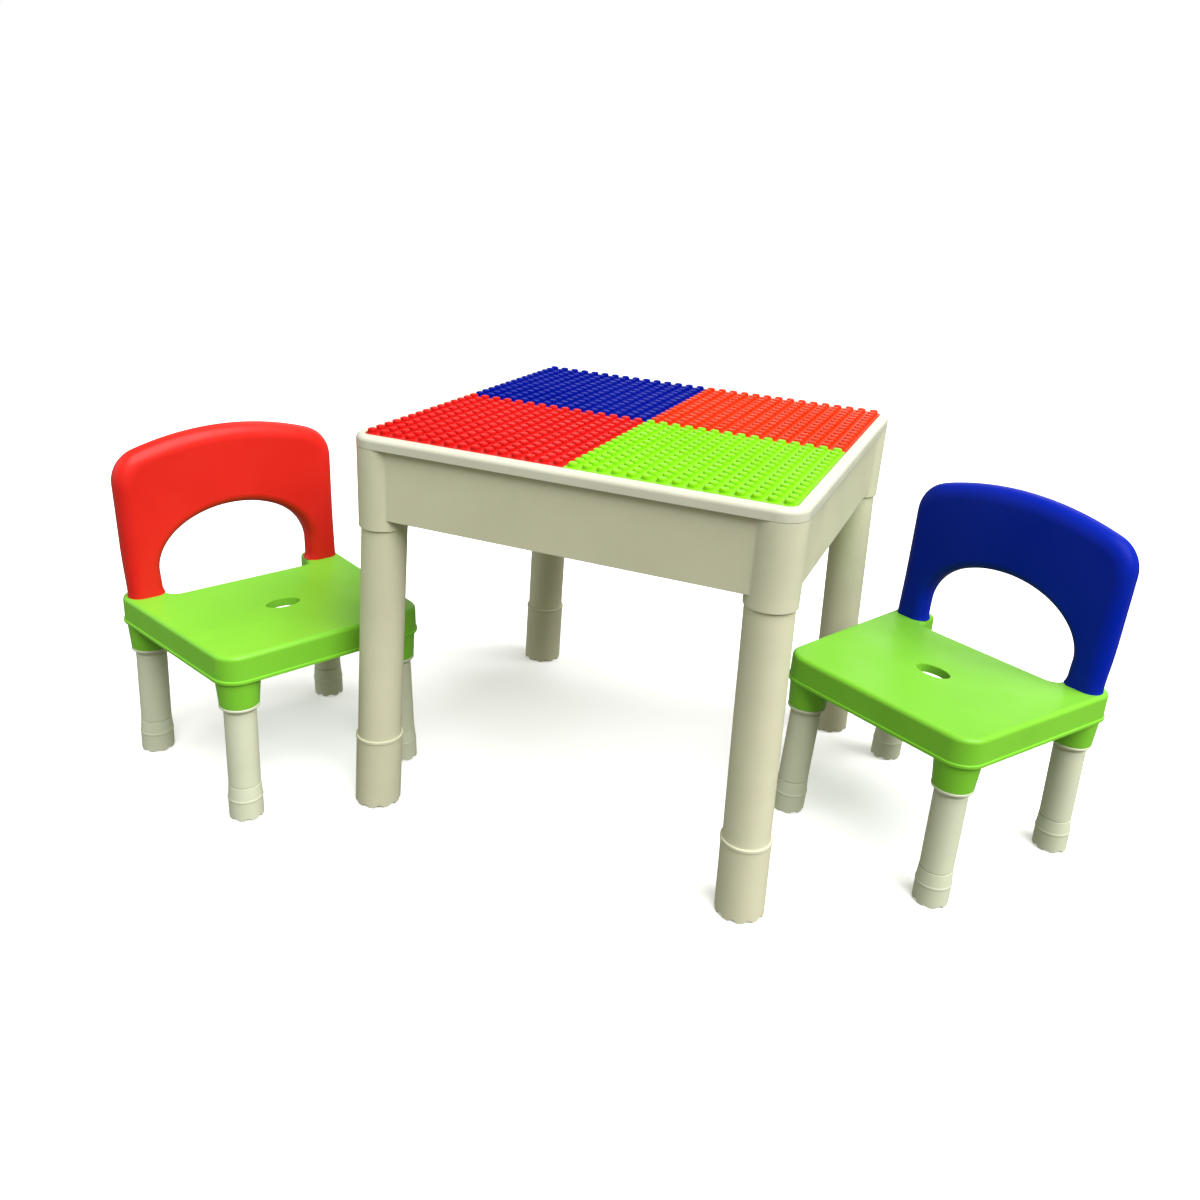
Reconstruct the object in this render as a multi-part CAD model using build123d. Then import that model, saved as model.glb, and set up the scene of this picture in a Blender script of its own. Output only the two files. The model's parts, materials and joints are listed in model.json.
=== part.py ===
"""Children's building-brick table with two chairs, all moulded plastic.

The table has four lift-off stud panels over a divided storage basin, and four two-piece legs.
Each chair is a moulded seat on four tube legs, with an arched backrest plugged into it.
Row frame: millimetres, +Z up, origin on the floor in the middle of the whole set's box.
"""

import math
import os

from build123d import *

# ---- where things stand, seen from above; each place is relative to the middle of the table ----
SET_CENTRE = (-5.99, -49.35)
CHAIR_PLACES = {"red": ((-408.2, -194.4), 66.6), "blue": ((384.0, 30.2), -29.8)}

# ---- table: driving dimensions ----
TABLE_WIDTH = 506.0
RIM_TOP = 466.0
RIM_HEIGHT = 14.0
APRON_BOTTOM = 372.0
APRON_INSET = 6.0
WALL = 3.0
POST_RADIUS = 28.0
POST_BOTTOM = 359.0
LEG_RADIUS = 26.0
LEG_WALL = 2.4
LEG_SPLAY = 0.031
LEG_PLUG_RADIUS = 23.4
LEG_PLUG_LENGTH = 46.0
EXTENSION_TOP = 93.0
EXTENSION_RADIUS = 27.6
EXTENSION_SOCKET_DEPTH = 42.0

# ---- stud panels ----
STUD_PITCH = 16.0
STUDS_PER_SIDE = 15
STUD_RADIUS = 5.0
STUD_HEIGHT = 4.5
PANEL_SIZE = STUD_PITCH * STUDS_PER_SIDE
PANEL_THICKNESS = 5.5
PANEL_GAP = 0.3
PANEL_CORNER_RADIUS = 10.0
LEDGE_WIDTH = 8.5
LEDGE_THICKNESS = 5.0

# ---- storage basin ----
FLOOR_BOTTOM = 376.0
DIVIDER_THICKNESS = 3.0
DIVIDER_FLANGE = 16.0

# ---- chair: driving dimensions ----
SEAT_TOP = 217.5
SEAT_FRONT_HALF = 133.0
SEAT_REAR_HALF = 151.0
SEAT_FRONT = -129.0
SEAT_REAR = 135.0
SEAT_FRONT_RADIUS, SEAT_REAR_RADIUS = 29.0, 24.0
SKIRT_HEIGHT = 34.5
SEAT_WALL = 3.0
SEAT_LIP = 1.5
SEAT_LIP_HEIGHT = 4.0
SEAT_RECESS = 90.0
SEAT_RECESS_HALF = 100.0
FINGER_HOLE = (22.0, 13.0)
FINGER_HOLE_Y = -14.0
SOCKET_BOTTOM = 149.0
SOCKET_RADIUS_TOP = 27.5
SOCKET_RADIUS_BOTTOM = 24.5
FRONT_SOCKET = (107.0, -103.0)
REAR_SOCKET = (124.0, 106.5)
CHAIR_LEG_RADIUS = 18.6
CHAIR_LEG_SPLAY = 0.0267
CHAIR_LEG_WALL = 2.2
CHAIR_PLUG_RADIUS = 18.0
CHAIR_PLUG_LENGTH = 28.0
CHAIR_CAP_HEIGHT = 43.0

# ---- backrest, measured in its own reclined plane ----
BACK_RECLINE = 1.5
BACK_Y = 107.6
BACK_HEIGHT = 201.3
BACK_HALF_WIDTH = 144.3
BACK_BASE_HALF = 143.5
BACK_CORNER_RADIUS = 41.0
BACK_CROWN_RADIUS = 380.0
BACK_BASE_THICKNESS = 30.0
BACK_TOP_THICKNESS = 26.0
ARCH_HALF_WIDTH = 103.0
ARCH_BASE_HALF = 101.0
ARCH_RISE = 68.6
ARCH_SPRING = 30.8
BACK_PLUG_RADIUS = 13.5
BACK_PLUG_LENGTH = 22.0

CLEARANCE = 0.1
CHAMFER = 1.5
CORNERS = {"front_left": (-1, -1), "front_right": (1, -1), "back_right": (1, 1), "back_left": (-1, 1)}
PANEL_CORNERS = {"red": "front_left", "green": "front_right", "orange": "back_right", "blue": "back_left"}
UPRIGHT = (Align.CENTER, Align.CENTER, Align.MIN)


def rod(radius, low, high):
    """A cylinder on the local Z axis between two heights."""
    return Pos(0, 0, low) * Cylinder(radius, high - low, align=UPRIGHT)


def cone(low_radius, high_radius, low, high):
    return Pos(0, 0, low) * Cone(low_radius, high_radius, high - low, align=UPRIGHT)


def slab(low, high, half=400.0):
    """Everything between two heights."""
    return Pos(0, 0, low) * Box(2 * half, 2 * half, high - low, align=UPRIGHT)


def block(x_range, y_range, z_range):
    size = [high - low for low, high in (x_range, y_range, z_range)]
    return Pos(x_range[0], y_range[0], z_range[0]) * Box(*size, align=(Align.MIN,) * 3)


def rounded_square(half, radius):
    return RectangleRounded(2 * half, 2 * half, radius)


def leaning(x, y, splay):
    """A frame on the floor whose Z axis leans inwards as it rises, for a splayed leg at (x, y)."""
    side_x, side_y = math.copysign(1, x), math.copysign(1, y)
    return Plane(origin=(x, y, 0), x_dir=(1, 0, 0), z_dir=(-side_x * splay, -side_y * splay, 1)).location


# ---------------------------------------------------------------- table

HALF = TABLE_WIDTH / 2
RIM_BOTTOM = RIM_TOP - RIM_HEIGHT
POST_CENTRE = HALF - POST_RADIUS
LEG_FOOT = POST_CENTRE - 0.5 + LEG_SPLAY * POST_BOTTOM
OPENING_HALF = PANEL_SIZE + 2 * PANEL_GAP
PANEL_BOTTOM = RIM_TOP + PANEL_GAP - PANEL_THICKNESS
LEDGE_TOP = PANEL_BOTTOM - PANEL_GAP
FLOOR_TOP = FLOOR_BOTTOM + WALL
WALL_OUTER = HALF - APRON_INSET
WALL_INNER = WALL_OUTER - WALL


def table_leg_frame(corner):
    side_x, side_y = CORNERS[corner]
    return leaning(side_x * LEG_FOOT, side_y * LEG_FOOT, LEG_SPLAY)


def top_rim():
    """The frame round the tabletop, with the ledge that the panels lie on."""
    outer = extrude(rounded_square(HALF, POST_RADIUS), RIM_HEIGHT)
    outer = fillet(outer.edges().group_by(Axis.Z)[-1], 3.5)
    outer = fillet(outer.edges().group_by(Axis.Z)[0], 1.5)
    inner = extrude(rounded_square(OPENING_HALF, PANEL_CORNER_RADIUS + PANEL_GAP), RIM_HEIGHT)
    ring = Pos(0, 0, RIM_BOTTOM) * (outer - inner)
    inner_edges = [
        e for e in ring.edges().group_by(Axis.Z)[-1]
        if max(abs(e.center().X), abs(e.center().Y)) < OPENING_HALF + 0.5
    ]
    ring = fillet(inner_edges, 1.0)
    ledge = extrude(rounded_square(OPENING_HALF + 1, PANEL_CORNER_RADIUS), LEDGE_THICKNESS)
    ledge -= extrude(rounded_square(OPENING_HALF - LEDGE_WIDTH, PANEL_CORNER_RADIUS), LEDGE_THICKNESS)
    return ring + Pos(0, 0, LEDGE_TOP - LEDGE_THICKNESS) * ledge


def table_body():
    """Apron walls, corner posts with leg sockets, and the floor of the storage basin, in one moulding."""
    walls = extrude(rounded_square(WALL_OUTER, POST_RADIUS - APRON_INSET), RIM_BOTTOM - APRON_BOTTOM)
    walls -= extrude(rounded_square(WALL_INNER, POST_RADIUS - APRON_INSET - WALL), RIM_BOTTOM - APRON_BOTTOM)
    body = Pos(0, 0, APRON_BOTTOM) * walls
    floor = extrude(rounded_square(WALL_INNER + 1, POST_RADIUS - APRON_INSET - WALL), WALL)
    body += Pos(0, 0, FLOOR_BOTTOM) * floor
    rib_thickness = 2.0
    for offset in (-120.0, 0.0, 120.0):
        span, across = (-WALL_INNER, WALL_INNER), (offset - rib_thickness / 2, offset + rib_thickness / 2)
        body += block(span, across, (APRON_BOTTOM + 1, FLOOR_BOTTOM))
        body += block(across, span, (APRON_BOTTOM + 1, FLOOR_BOTTOM))
    post = rod(POST_RADIUS, POST_BOTTOM, RIM_BOTTOM)
    post = fillet(post.edges().group_by(Axis.Z)[0], 1.2)
    for side_x, side_y in CORNERS.values():
        body += Pos(side_x * POST_CENTRE, side_y * POST_CENTRE, 0) * post
    bore_top = POST_BOTTOM + LEG_PLUG_LENGTH + 4
    for corner in CORNERS:
        bore = rod(LEG_PLUG_RADIUS + CLEARANCE, POST_BOTTOM - 20, bore_top)
        body -= table_leg_frame(corner) * bore
    return body


def cross_divider():
    """Plus-shaped divider that carries the inner edges of the four panels."""
    top = LEDGE_TOP
    half_t, half_f = DIVIDER_THICKNESS / 2, DIVIDER_FLANGE / 2
    flange_end = OPENING_HALF - LEDGE_WIDTH - CLEARANCE
    web_end = WALL_INNER - CLEARANCE
    bottom = FLOOR_TOP + CLEARANCE
    web_top = RIM_BOTTOM - CLEARANCE
    divider = block((-web_end, web_end), (-half_t, half_t), (bottom, web_top))
    divider += block((-half_t, half_t), (-web_end, web_end), (bottom, web_top))
    for size in ((flange_end, half_f), (half_f, flange_end)):
        divider += block((-size[0], size[0]), (-size[1], size[1]), (top - WALL, top))
    divider += block((-flange_end, flange_end), (-half_t, half_t), (bottom, top))
    divider += block((-half_t, half_t), (-flange_end, flange_end), (bottom, top))
    return divider


def stud_panel():
    """One panel, its middle at the origin and its outer rounded corner towards -X -Y."""
    plate = extrude(Rectangle(PANEL_SIZE, PANEL_SIZE), PANEL_THICKNESS)
    outer_corner = plate.edges().filter_by(Axis.Z).sort_by(lambda e: e.center().X + e.center().Y)[0]
    plate = fillet(outer_corner, PANEL_CORNER_RADIUS)
    grid = GridLocations(STUD_PITCH, STUD_PITCH, STUDS_PER_SIDE, STUDS_PER_SIDE)
    studs = extrude(Sketch() + [place * Circle(STUD_RADIUS) for place in grid], STUD_HEIGHT)
    studs = Pos(0, 0, PANEL_THICKNESS) * studs
    return plate + studs


def table_leg(corner):
    """Upper leg tube: its shoulder meets the post, and its plug goes up inside it."""
    frame = table_leg_frame(corner)
    low = EXTENSION_TOP - EXTENSION_SOCKET_DEPTH + CLEARANCE
    tube = (frame * rod(LEG_RADIUS, low, POST_BOTTOM + 20)) & slab(0, POST_BOTTOM)
    tube += frame * rod(LEG_PLUG_RADIUS, POST_BOTTOM - 30, POST_BOTTOM + LEG_PLUG_LENGTH)
    return tube - frame * rod(LEG_PLUG_RADIUS - LEG_WALL, low - 1, POST_BOTTOM + LEG_PLUG_LENGTH + 1)


def scallops(radius, count, notch_radius):
    """Round notches along the bottom edge of a foot."""
    notches = Part()
    for i in range(count):
        turn = 360.0 * (i + 0.5) / count
        notch = Rot(0, 90, 0) * Cylinder(notch_radius, 14)
        notches += Rot(0, 0, turn) * (Pos(radius, 0, -0.4 * notch_radius) * notch)
    return notches


def leg_extension(corner):
    """Lower leg section: a cup for the tube above, and a scalloped bottom edge."""
    socket_floor = EXTENSION_TOP - EXTENSION_SOCKET_DEPTH
    body = rod(EXTENSION_RADIUS, -4, EXTENSION_TOP)
    bead = rod(EXTENSION_RADIUS + 0.8, EXTENSION_TOP - 4, EXTENSION_TOP)
    bead = fillet(bead.edges().group_by(Axis.Z)[-1], 1.0)
    body += fillet(bead.edges().group_by(Axis.Z)[0], 0.7)
    body -= rod(LEG_RADIUS + CLEARANCE, socket_floor, EXTENSION_TOP + 1)
    body -= rod(LEG_RADIUS - 1.6, -5, socket_floor + 1)
    placed = (table_leg_frame(corner) * body) & slab(0, EXTENSION_TOP + 20)
    side_x, side_y = CORNERS[corner]
    centre = Pos(side_x * LEG_FOOT, side_y * LEG_FOOT, 0)
    return placed - centre * scallops(EXTENSION_RADIUS, 10, 3.6)


def leg_glide(corner):
    """Soft anti-slip disc pressed into the bottom of the leg."""
    disc = rod(LEG_RADIUS - 1.6 - CLEARANCE, -4, 9)
    return (table_leg_frame(corner) * disc) & slab(0, 20)


# ---------------------------------------------------------------- chair

SKIRT_BOTTOM = SEAT_TOP - SKIRT_HEIGHT
BACK_BASE_EXTRA = 6.0


def chair_foot(corner):
    """Middle of a chair foot on the floor."""
    side_x, side_y = CORNERS[corner]
    spread = CHAIR_LEG_SPLAY * SOCKET_BOTTOM
    x, y = FRONT_SOCKET if side_y < 0 else REAR_SOCKET
    return side_x * (x + spread), y + side_y * spread


def chair_leg_frame(corner):
    return leaning(*chair_foot(corner), CHAIR_LEG_SPLAY)


def seat_outline(grow=0.0):
    """The seat seen from above: wider at the back, with a recess between the two rear ears."""
    front_half, rear_half = SEAT_FRONT_HALF + grow, SEAT_REAR_HALF + grow
    front, rear = SEAT_FRONT - grow, SEAT_REAR + grow
    recess, recess_half = SEAT_RECESS + grow, SEAT_RECESS_HALF - grow
    slope = 5.0
    half = [(0, front), (front_half, front), (rear_half, rear), (recess_half + slope, rear),
            (recess_half - slope, recess)]
    points = half + [(-x, y) for x, y in reversed(half[1:])]
    face = make_face(Polyline(*points, close=True))
    corners = face.vertices().filter_by(lambda v: abs(v.X) > recess_half + slope + 5)
    face = fillet(corners.filter_by(lambda v: v.Y < 0), SEAT_FRONT_RADIUS + grow)
    corners = face.vertices().filter_by(lambda v: abs(v.X) > recess_half + slope + 5 and v.Y > rear - 0.1)
    face = fillet(corners, SEAT_REAR_RADIUS + grow)
    ears = face.vertices().filter_by(lambda v: abs(abs(v.X) - recess_half - slope) < 0.01 and v.Y > recess)
    face = fillet(ears, 9.0 + grow)
    hollows = face.vertices().filter_by(lambda v: abs(abs(v.X) - recess_half + slope) < 0.01 and v.Y > 0)
    return fillet(hollows, 13.0 - grow)


def back_upright(side_x):
    """Frame of a backrest upright at the seat's top, leaning back as it rises."""
    x = side_x * (BACK_BASE_HALF + ARCH_BASE_HALF) / 2
    return Pos(x, BACK_Y, SEAT_TOP) * Rot(-BACK_RECLINE, 0, 0)


def chair_seat():
    """Hollow moulded seat: top, skirt with a lip, ribs, four leg sockets and two backrest pockets."""
    shell = extrude(seat_outline(), SKIRT_HEIGHT, taper=1.0)
    shell = fillet(shell.edges().group_by(Axis.Z)[-1], 5.0)
    shell -= extrude(seat_outline(-SEAT_WALL), SKIRT_HEIGHT - SEAT_WALL, taper=1.0)
    lip = extrude(seat_outline(SEAT_LIP), SEAT_LIP_HEIGHT) - extrude(seat_outline(-1.0), SEAT_LIP_HEIGHT)
    lip = fillet(lip.faces().sort_by(Axis.Z)[-1].outer_wire().edges(), 0.8)
    seat = Pos(0, 0, SKIRT_BOTTOM) * (shell + lip)
    under_top = SEAT_TOP - SEAT_WALL
    collar = extrude(Ellipse(FINGER_HOLE[0] + 3, FINGER_HOLE[1] + 3), 12.0)
    collar = Pos(0, FINGER_HOLE_Y, SEAT_TOP - 14) * collar
    rib_zone, half_rib = (under_top - 8, under_top + 1), 1.0
    lengthwise, across = (SEAT_FRONT + 2, SEAT_RECESS - 2), (-SEAT_FRONT_HALF + 1, SEAT_FRONT_HALF - 1)
    ribs = Part() + [block((x - half_rib, x + half_rib), lengthwise, rib_zone) for x in (-62.0, 0.0, 62.0)]
    ribs += [block(across, (y - half_rib, y + half_rib), rib_zone) for y in (-68.0, FINGER_HOLE_Y, 40.0)]
    seat += ribs + collar
    for corner in CORNERS:
        low = SOCKET_BOTTOM + CHAMFER
        socket = cone(SOCKET_RADIUS_BOTTOM, SOCKET_RADIUS_TOP, low, SKIRT_BOTTOM)
        socket += rod(SOCKET_RADIUS_TOP, SKIRT_BOTTOM, under_top + 8)
        socket += cone(SOCKET_RADIUS_BOTTOM - CHAMFER, SOCKET_RADIUS_BOTTOM, SOCKET_BOTTOM - 1, low)
        inside = Pos(0, 0, SOCKET_BOTTOM) * extrude(seat_outline(-1.0), under_top + 1 - SOCKET_BOTTOM)
        seat += (chair_leg_frame(corner) * socket) & slab(SOCKET_BOTTOM, under_top + 1) & inside
    pocket_depth = BACK_PLUG_LENGTH + 1
    for corner in CORNERS:
        bore = rod(CHAIR_PLUG_RADIUS + CLEARANCE, SOCKET_BOTTOM - 10, SOCKET_BOTTOM + CHAIR_PLUG_LENGTH + 1)
        seat -= chair_leg_frame(corner) * bore
    for side_x in (-1, 1):
        seat -= back_upright(side_x) * rod(BACK_PLUG_RADIUS + CLEARANCE, -pocket_depth, 10)
    return seat - Pos(0, FINGER_HOLE_Y, SKIRT_BOTTOM) * extrude(Ellipse(*FINGER_HOLE), SKIRT_HEIGHT + 1)


def backrest_face(inset=0.0):
    """Outline of the backrest in its own plane, X across and Y up from the seat, smaller by the inset."""
    half_width, height = BACK_HALF_WIDTH - inset, BACK_HEIGHT - inset
    corner_radius, crown_radius = BACK_CORNER_RADIUS - inset, BACK_CROWN_RADIUS - inset
    arch_half, arch_rise = ARCH_HALF_WIDTH + inset, ARCH_RISE + inset
    crown_centre = height - crown_radius
    corner_x = half_width - corner_radius
    corner_y = crown_centre + math.sqrt((crown_radius - corner_radius) ** 2 - corner_x**2)
    lean = math.atan2(corner_x, corner_y - crown_centre)
    tangent = (crown_radius * math.sin(lean), crown_centre + crown_radius * math.cos(lean))
    middle = math.radians(45) - lean / 2
    bulge = (corner_x + corner_radius * math.cos(middle), corner_y + corner_radius * math.sin(middle))

    def mirrored(point):
        return (-point[0], point[1])

    side_top, base = (half_width, corner_y), (BACK_BASE_HALF - inset, -BACK_BASE_EXTRA)
    arch_side, arch_base = (arch_half, ARCH_SPRING), (ARCH_BASE_HALF + inset, -BACK_BASE_EXTRA)
    return make_face([
        Line(base, side_top),
        ThreePointArc(side_top, bulge, tangent),
        ThreePointArc(tangent, (0, height), mirrored(tangent)),
        ThreePointArc(mirrored(tangent), mirrored(bulge), mirrored(side_top)),
        Line(mirrored(side_top), mirrored(base)),
        Line(mirrored(base), mirrored(arch_base)),
        Line(mirrored(arch_base), mirrored(arch_side)),
        Pos(0, ARCH_SPRING) * EllipticalCenterArc((0, 0), arch_half, arch_rise, 0, arc_size=180),
        Line(arch_side, arch_base),
        Line(arch_base, base),
    ])


def chair_backrest():
    """Arched backrest, thicker at its base, open at the back, with ribs and two round plugs."""
    outline = backrest_face()
    deep, slim, wide = BACK_BASE_THICKNESS / 2, BACK_TOP_THICKNESS / 2, BACK_HALF_WIDTH + 10
    low, high = -BACK_BASE_EXTRA, BACK_HEIGHT
    corners = [(-wide, low, -deep), (-wide, low, deep), (-wide, high, slim), (-wide, high, -slim)]
    side = make_face(Polyline(*corners, close=True))
    body = (Pos(0, 0, -deep) * extrude(outline, 2 * deep)) & extrude(side, 2 * wide, dir=(1, 0, 0))
    rounded = body.faces().sort_by(Axis.Z)[-1].edges().filter_by(lambda e: e.center().Y > low + 1)
    body = fillet(rounded, 11.0)
    rear = body.faces().sort_by(Axis.Z)[0].edges().filter_by(lambda e: e.center().Y > low + 1)
    body = fillet(rear, 3.0)
    hollow_front = 1.0
    pocket = Pos(0, 0, -deep) * extrude(backrest_face(6.0), deep + hollow_front)
    pocket &= block((-wide, wide), (8, high), (-deep, hollow_front))
    rib_depth = (6 - slim, slim)
    ribs = Part() + [block((x - 1, x + 1), (60, high), rib_depth) for x in (-96.0, -48.0, 0.0, 48.0, 96.0)]
    ribs += [block((-wide, wide), (y - 1, y + 1), rib_depth) for y in (40.0, 150.0)]
    pocket -= ribs
    body -= pocket
    standing = Plane(origin=(0, BACK_Y, SEAT_TOP), x_dir=(1, 0, 0), z_dir=(0, -1, 0)).location
    rest = standing * Rot(-BACK_RECLINE, 0, 0) * body
    rest &= slab(SEAT_TOP + 0.05, SEAT_TOP + 260)
    for side_x in (-1, 1):
        plug = back_upright(side_x) * rod(BACK_PLUG_RADIUS, -BACK_PLUG_LENGTH, 9)
        rest += plug
    return rest


def chair_leg(corner):
    """Tube leg with a collar under the seat socket and a plug that goes up inside it."""
    frame = chair_leg_frame(corner)
    low = 8.0
    collar_radius, collar_height = CHAIR_LEG_RADIUS + 2.2, 5.0
    leg = (frame * rod(CHAIR_LEG_RADIUS, low, SOCKET_BOTTOM + 10)) & slab(0, SOCKET_BOTTOM - 0.05)
    collar = frame * rod(collar_radius, SOCKET_BOTTOM - collar_height, SOCKET_BOTTOM + 10)
    leg += collar & slab(0, SOCKET_BOTTOM - 0.05)
    leg += frame * rod(CHAIR_PLUG_RADIUS, SOCKET_BOTTOM - 20, SOCKET_BOTTOM + CHAIR_PLUG_LENGTH)
    hollow = rod(CHAIR_LEG_RADIUS - CHAIR_LEG_WALL, low - 1, SOCKET_BOTTOM + CHAIR_PLUG_LENGTH + 1)
    return leg - frame * hollow


def chair_foot_cap(corner):
    """Foot cap pushed over the end of the leg: flared collar, bead and scalloped bottom edge."""
    bead_top, bead_bottom = 27.0, 24.0
    cap = rod(CHAIR_LEG_RADIUS + 1.5, -4, bead_bottom + 1)
    cap += rod(CHAIR_LEG_RADIUS + 1.9, bead_bottom, bead_top)
    cap += cone(CHAIR_LEG_RADIUS + 1.4, CHAIR_LEG_RADIUS + 0.8, bead_top, CHAIR_CAP_HEIGHT)
    cap -= rod(CHAIR_LEG_RADIUS + 0.05, 7.95, CHAIR_CAP_HEIGHT + 1)
    x, y = chair_foot(corner)
    placed = (chair_leg_frame(corner) * cap) & slab(0, 60)
    return placed - Pos(x, y, 0) * scallops(CHAIR_LEG_RADIUS + 1.5, 8, 3.0)


# ---------------------------------------------------------------- write every node

def table_nodes():
    nodes = {"top_rim": top_rim(), "table_body": table_body(), "cross_divider": cross_divider()}
    for corner in CORNERS:
        nodes[f"leg_tube_{corner}"] = table_leg(corner)
        nodes[f"leg_extension_{corner}"] = leg_extension(corner)
        nodes[f"leg_glide_{corner}"] = leg_glide(corner)
    panel = stud_panel()
    offset_to_middle = PANEL_SIZE / 2 + PANEL_GAP / 2
    for quarter, (colour, corner) in enumerate(PANEL_CORNERS.items()):
        side_x, side_y = CORNERS[corner]
        place = Pos(side_x * offset_to_middle, side_y * offset_to_middle, PANEL_BOTTOM)
        nodes[f"stud_panel_{colour}"] = place * Rot(0, 0, 90 * quarter) * panel
    return nodes


def chair_nodes():
    """One chair about its own middle, facing -Y."""
    nodes = {"seat": chair_seat(), "backrest": chair_backrest()}
    for corner in CORNERS:
        nodes[f"leg_{corner}"] = chair_leg(corner)
        nodes[f"foot_cap_{corner}"] = chair_foot_cap(corner)
    return nodes


def main():
    os.makedirs("parts", exist_ok=True)
    origin = Pos(-SET_CENTRE[0], -SET_CENTRE[1], 0)
    nodes = {name: origin * shape for name, shape in table_nodes().items()}
    chair = chair_nodes()
    for colour, ((x, y), turn) in CHAIR_PLACES.items():
        for name, shape in chair.items():
            nodes[f"{colour}_chair_{name}"] = origin * Pos(x, y, 0) * Rot(0, 0, turn) * shape
    for name, shape in nodes.items():
        export_step(shape, f"parts/{name}.step")
    box = Compound(children=[Compound(shape.wrapped) for shape in nodes.values()]).bounding_box()
    print("set box", box.min, box.max, "middle", (box.min + box.max) / 2)


main()
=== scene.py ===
"""Children's building-brick table with two chairs: the looks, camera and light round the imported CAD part."""

import json
import math

import bmesh
import bpy
from mathutils import Matrix, Vector


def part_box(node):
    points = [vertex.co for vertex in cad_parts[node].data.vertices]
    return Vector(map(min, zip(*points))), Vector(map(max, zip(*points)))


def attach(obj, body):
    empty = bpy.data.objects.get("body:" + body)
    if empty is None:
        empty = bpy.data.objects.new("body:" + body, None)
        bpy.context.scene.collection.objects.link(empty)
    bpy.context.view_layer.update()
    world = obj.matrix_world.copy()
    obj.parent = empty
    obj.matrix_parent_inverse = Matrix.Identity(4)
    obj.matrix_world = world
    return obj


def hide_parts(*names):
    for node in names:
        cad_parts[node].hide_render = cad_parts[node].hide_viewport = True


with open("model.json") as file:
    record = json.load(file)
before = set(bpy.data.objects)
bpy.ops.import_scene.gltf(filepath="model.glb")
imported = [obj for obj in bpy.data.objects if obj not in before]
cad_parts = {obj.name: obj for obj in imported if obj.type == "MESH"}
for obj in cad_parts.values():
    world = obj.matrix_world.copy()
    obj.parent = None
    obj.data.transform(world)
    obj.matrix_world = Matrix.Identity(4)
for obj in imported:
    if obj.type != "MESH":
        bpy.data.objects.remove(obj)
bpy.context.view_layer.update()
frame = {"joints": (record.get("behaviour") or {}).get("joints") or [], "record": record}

# ---- shared dimensions, in millimetres like the CAD ----
TABLE_HALF = 253.0
RIM_TOP, RIM_BOTTOM = 466.0, 452.0
PANEL_OPENING_HALF = 240.6
POST_RADIUS, POST_BOTTOM, POST_CENTRE = 28.0, 359.0, 225.0
APRON_BOTTOM, APRON_OUTER, APRON_INNER = 372.0, 247.0, 244.0
FLOOR_BOTTOM, FLOOR_TOP = 376.0, 379.0
LEDGE_TOP, LEDGE_BOTTOM, LEDGE_HALF = 460.5, 455.5, 232.1
LEG_RADIUS, LEG_SPLAY = 26.0, 0.031
LEG_FOOT = POST_CENTRE - 0.5 + LEG_SPLAY * POST_BOTTOM
EXTENSION_RADIUS, EXTENSION_TOP = 27.6, 93.0
PANEL_SIZE, PANEL_THICKNESS = 240.0, 5.5
STUD_PITCH, STUDS_PER_SIDE, STUD_RADIUS, STUD_HEIGHT = 16.0, 15, 5.2, 4.5
SEAT_TOP, SEAT_UNDERSIDE, SKIRT_BOTTOM, SOCKET_BOTTOM = 217.5, 214.5, 183.0, 149.0
FINGER_HOLE, FINGER_HOLE_Y = (22.0, 13.0), -14.0
SOCKET_RADIUS_TOP, SOCKET_RADIUS_BOTTOM = 25.8, 22.9
FRONT_SOCKET, REAR_SOCKET = (107.0, -103.0), (124.0, 106.5)
CHAIR_LEG_RADIUS, CHAIR_LEG_SPLAY, CHAIR_CAP_HEIGHT = 18.6, 0.0267, 43.0
BACK_RECLINE, BACK_Y, BACK_HEIGHT = math.radians(1.5), 107.6, 201.3
BACK_HALF_WIDTH, BACK_BASE_HALF = 144.3, 143.5
BACK_BASE_THICKNESS, BACK_TOP_THICKNESS = 30.0, 26.0
BACK_CORNER_RADIUS, BACK_CROWN_RADIUS, BACK_BASE_EXTRA = 41.0, 380.0, 6.0
ARCH_HALF_WIDTH, ARCH_BASE_HALF, ARCH_RISE, ARCH_SPRING = 103.0, 101.0, 68.6, 30.8
BASIN_RIBS = (-120.0, 0.0, 120.0)
PANEL_RIB_PITCH, SEAT_RIBS_ACROSS, SEAT_RIBS_ALONG = 48.0, (-68.0, FINGER_HOLE_Y, 40.0), (-62.0, 0.0, 62.0)
BACK_RIBS, BACK_PLUG_RADIUS, BACK_PLUG_LENGTH = (-96.0, -48.0, 0.0, 48.0, 96.0), 13.5, 21.6
CORNERS = {"front_left": (-1, -1), "front_right": (1, -1), "back_right": (1, 1), "back_left": (-1, 1)}
PANEL_CORNERS = {"red": "front_left", "green": "front_right", "orange": "back_right", "blue": "back_left"}
MM = Matrix.Scale(0.001, 4)


# ---------------------------------------------------------------- places

def table_place():
    low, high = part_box("top_rim")
    return Matrix.Translation(((low[0] + high[0]) / 2, (low[1] + high[1]) / 2, 0)) @ MM


def chair_place(colour):
    """The chair's own frame: its sliding direction is its +Y, and its feet stand round its middle."""
    joint = next(j for j in frame["joints"] if j["name"] == f"{colour}_chair_pull_back")
    back = Vector(joint["axis"])
    mounts = frame["record"]["mounts"]
    feet = [Vector(m["pos_m"]) for m in mounts if m["name"].startswith(f"{colour}_chair_foot")]
    feet_middle = (FRONT_SOCKET[1] + REAR_SOCKET[1]) / 2000
    origin = sum(feet, Vector()) / len(feet) - back * feet_middle
    origin.z = 0
    return Matrix.Translation(origin) @ Matrix.Rotation(math.atan2(-back.x, back.y), 4, "Z") @ MM


# ---------------------------------------------------------------- mesh helpers, all in millimetres

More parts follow.
